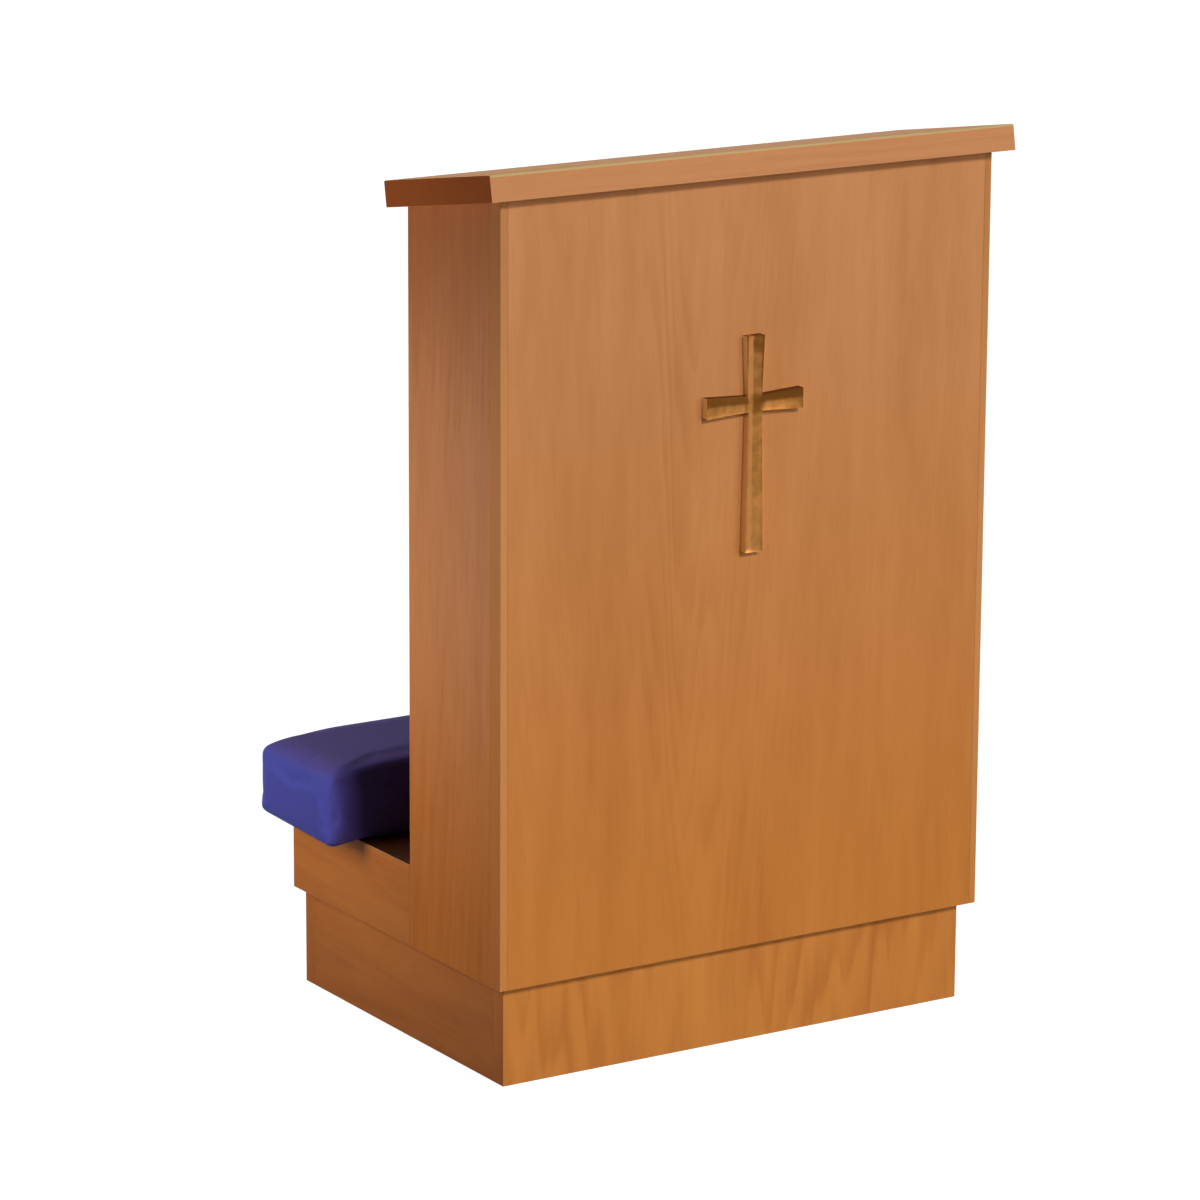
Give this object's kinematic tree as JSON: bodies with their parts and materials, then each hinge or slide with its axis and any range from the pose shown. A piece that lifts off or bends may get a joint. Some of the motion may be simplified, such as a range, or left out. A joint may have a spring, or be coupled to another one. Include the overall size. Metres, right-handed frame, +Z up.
{
  "type": "kneeling desk",
  "caption": "Wooden kneeling desk with a shallow upright, a sloped book rest, a brass cross and a low box kneeler with a thick blue cushion.",
  "frame": {"origin": "on the floor, under the middle of the bounding box", "axes": "+X to the right for someone who faces the cross, +Y from the front panel with the cross towards the kneeler's end, +Z up"},
  "size_m": [0.618, 0.4128, 0.8707],
  "materials": {
    "board_veneer": "satin",
    "edge_strip": "satin",
    "plain_wood": "matte",
    "dowel_wood": "matte",
    "cushion_cloth": "matte",
    "cushion_foam": "matte",
    "cushion_lining": "matte",
    "cross_brass": "satin",
    "screw_steel": "satin"
  },
  "bodies": {
    "root": {"desk_top": "board_veneer", "front_panel": "board_veneer", "upright_side_left": "board_veneer", "upright_side_right": "board_veneer", "book_shelf": "board_veneer", "kneeler_side_left": "board_veneer", "kneeler_side_right": "board_veneer", "kneeler_end": "board_veneer", "kneeler_deck": "board_veneer", "plinth_front": "board_veneer", "plinth_side_left": "board_veneer", "plinth_side_right": "board_veneer", "plinth_end": "board_veneer", "front_strip_left": "edge_strip", "front_strip_right": "edge_strip", "shelf_batten_left": "plain_wood", "shelf_batten_right": "plain_wood", "desk_batten_left": "plain_wood", "desk_batten_right": "plain_wood", "desk_batten_front": "plain_wood", "deck_batten_left": "plain_wood", "deck_batten_right": "plain_wood", "base_runner_left": "plain_wood", "base_runner_right": "plain_wood", "plinth_batten_left": "plain_wood", "plinth_batten_right": "plain_wood", "corner_block_front_left": "plain_wood", "corner_block_front_right": "plain_wood", "corner_block_end_left": "plain_wood", "corner_block_end_right": "plain_wood", "pad_board": "plain_wood", "front_dowels": "dowel_wood", "kneeler_dowels": "dowel_wood", "end_dowels": "dowel_wood", "runner_dowels": "dowel_wood", "desk_screws": "screw_steel", "shelf_screws": "screw_steel", "deck_screws": "screw_steel", "plinth_screws": "screw_steel", "block_screws": "screw_steel", "pad_screws": "screw_steel", "pad_cover": "cushion_cloth", "pad_foam": "cushion_foam", "pad_lining": "cushion_lining", "cross": "cross_brass", "cross_studs": "cross_brass"}
  },
  "joints": []
}
